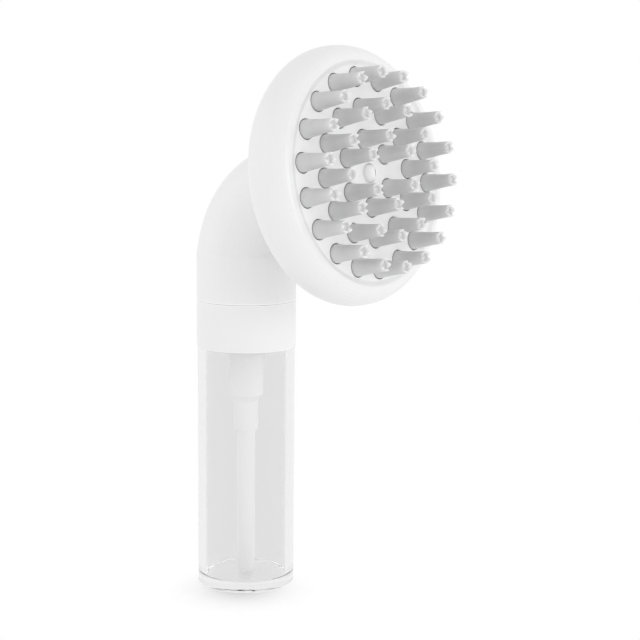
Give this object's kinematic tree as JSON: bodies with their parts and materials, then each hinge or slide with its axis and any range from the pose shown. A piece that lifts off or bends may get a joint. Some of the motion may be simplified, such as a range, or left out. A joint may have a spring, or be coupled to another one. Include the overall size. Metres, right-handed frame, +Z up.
{
  "type": "handheld bath sprayer",
  "caption": "Pet bath brush: a clear pump bottle with a bent neck and a round head of soft bristles that lets soap out at its middle.",
  "frame": {"origin": "middle of the bottle's foot, on the surface it stands on", "axes": "+Z up along the bottle, +X the way the head leans out and its bristles point, +Y to the left of that"},
  "size_m": [0.0971, 0.0938, 0.2087],
  "materials": {
    "clear_bottle": "clear thick-walled plastic, polished",
    "pump_plastic": "white polypropylene, smooth",
    "piston_plastic": "soft polyethylene, matt",
    "soft_seal": "soft foam ring",
    "steel": "stainless steel",
    "white_shell": "white moulded plastic, satin gloss",
    "face_white": "white moulded plastic, fine satin",
    "bristle_grey": "soft grey silicone",
    "valve_white": "soft white silicone",
    "soap_hose": "clear soft hose"
  },
  "bodies": {
    "bottle": {"bottle": "clear_bottle"},
    "lip_ring": {"neck_gasket": "soft_seal"},
    "pump_unit": {"pump_housing": "pump_plastic", "dip_tube": "pump_plastic", "ball_cage": "pump_plastic", "pump_spring": "steel", "stem_retainer": "pump_plastic"},
    "collar": {"collar": "white_shell"},
    "inlet_ball": {"inlet_ball": "steel"},
    "plunger": {"piston": "piston_plastic"},
    "head": {"stem": "pump_plastic", "stem_socket": "white_shell", "elbow": "white_shell", "soap_tube": "soap_hose", "back_shell": "white_shell", "rim_shell": "white_shell", "face_plate": "face_white", "bristle_pad": "bristle_grey", "pad_clamp": "face_white", "nozzle": "face_white", "slit_valve": "valve_white", "clamp_screws": "steel"},
    "outlet_ball": {"outlet_ball": "steel"}
  },
  "joints": [
    {"name": "draw_out", "type": "slide", "parent": "bottle", "child": "lip_ring", "axis": [0, 0, 1], "range_m": [0, 0.106]},
    {"name": "cap_lift", "type": "slide", "parent": "lip_ring", "child": "pump_unit", "axis": [0, 0, 1], "range_m": [0, 0.0064]},
    {"name": "cap_turn", "type": "hinge", "parent": "pump_unit", "child": "collar", "pos_m": [0, 0, 0.1], "axis": [0, 0, 1], "range_deg": [0, 540]},
    {"name": "inlet_lift", "type": "slide", "parent": "pump_unit", "child": "inlet_ball", "axis": [0, 0, 1], "range_m": [0, 0.0027]},
    {"name": "pump_stroke", "type": "slide", "parent": "pump_unit", "child": "plunger", "axis": [0, 0, 1], "range_m": [0, 0.01], "deforming": ["pump_spring"]},
    {"name": "head_turn", "type": "hinge", "parent": "plunger", "child": "head", "pos_m": [0, 0, 0.12], "axis": [0, 0, 1], "continuous": true},
    {"name": "outlet_lift", "type": "slide", "parent": "head", "child": "outlet_ball", "axis": [0, 0, 1], "range_m": [0, 0.0022]}
  ],
  "couplings": [
    {"joint": "cap_lift", "follows": "cap_turn", "m_per_rad": 0.000673}
  ]
}
